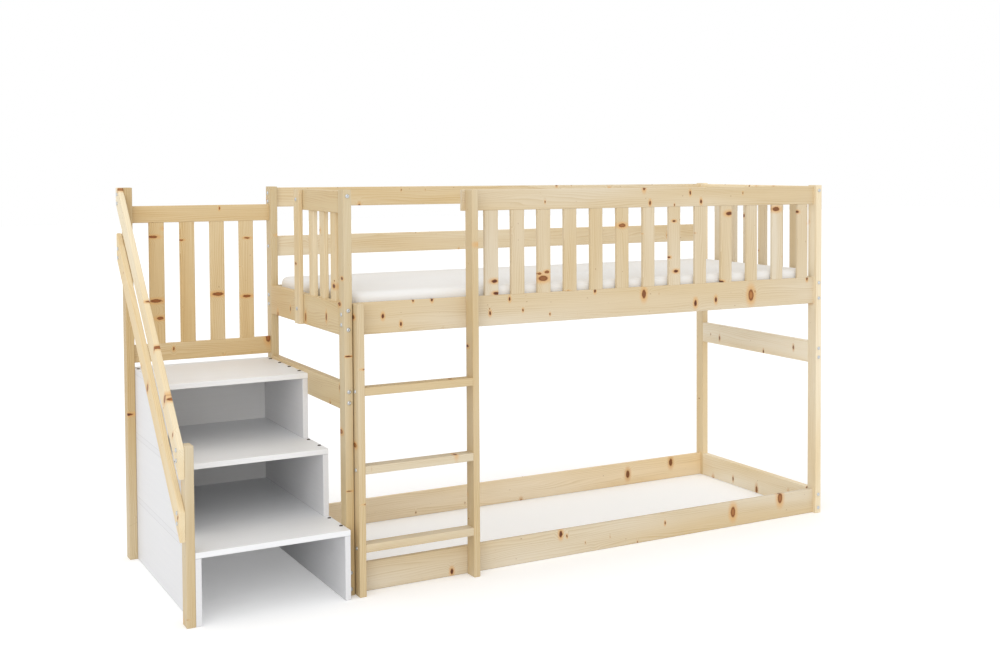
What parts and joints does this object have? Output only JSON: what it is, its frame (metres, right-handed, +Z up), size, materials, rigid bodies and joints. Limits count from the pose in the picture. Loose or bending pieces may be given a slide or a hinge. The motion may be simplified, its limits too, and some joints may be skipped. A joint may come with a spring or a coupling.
{
  "type": "house bed",
  "caption": "Low loft bed in pine with slatted guards, a front ladder, a side staircase of open white boxes with handrails, and a lift-off mattress.",
  "frame": {"origin": "on the floor, under the middle of the whole object's bounding box", "axes": "+X along the bed from the staircase to the far end, +Y from the ladder side to the back, +Z up"},
  "size_m": [2.487, 0.92, 1.324],
  "materials": {
    "pine": "clear matt lacquer on knotty pine",
    "white_board": "white satin paint",
    "mattress_cover": "plain white woven cover"
  },
  "bodies": {
    "bed": {"back_guard_middle_rail": "pine", "back_guard_top_rail": "pine", "bed_slats": "pine", "front_guard_slats": "pine", "front_guard_top_rail": "pine", "handrail_lower": "pine", "handrail_upper": "pine", "ladder_rung_1": "pine", "ladder_rung_2": "pine", "ladder_rung_3": "pine", "ladder_stile_left": "pine", "ladder_stile_right": "pine", "left_guard_slats": "pine", "left_guard_stub": "pine", "left_guard_top_rail": "pine", "lower_end_board_left": "pine", "lower_end_board_right": "pine", "lower_side_rail_back": "pine", "lower_side_rail_front": "pine", "mid_end_rail_left": "pine", "mid_end_rail_right": "pine", "post_back_left": "pine", "post_back_right": "pine", "post_front_left": "pine", "post_front_right": "pine", "right_guard_slats": "pine", "right_guard_top_rail": "pine", "slat_ledger_back": "pine", "slat_ledger_front": "pine", "stair_back_panel_1": "white_board", "stair_back_panel_2": "white_board", "stair_back_panel_3": "white_board", "stair_back_post": "pine", "stair_guard_bottom_rail": "pine", "stair_guard_slats": "pine", "stair_guard_top_rail": "pine", "stair_left_panel_1": "white_board", "stair_left_panel_2": "white_board", "stair_left_panel_3": "white_board", "stair_newel": "pine", "stair_right_panel_1": "white_board", "stair_right_panel_2": "white_board", "stair_right_panel_3": "white_board", "stair_tread_1": "white_board", "stair_tread_2": "white_board", "stair_tread_3": "white_board", "upper_end_board_left": "pine", "upper_end_board_right": "pine", "upper_side_rail_back": "pine", "upper_side_rail_front": "pine"},
    "mattress": {"mattress": "mattress_cover"}
  },
  "joints": [
    {"name": "mattress_lift", "type": "slide", "parent": "bed", "child": "mattress", "axis": [0, 0, 1], "range_m": [0, 0.46]}
  ]
}
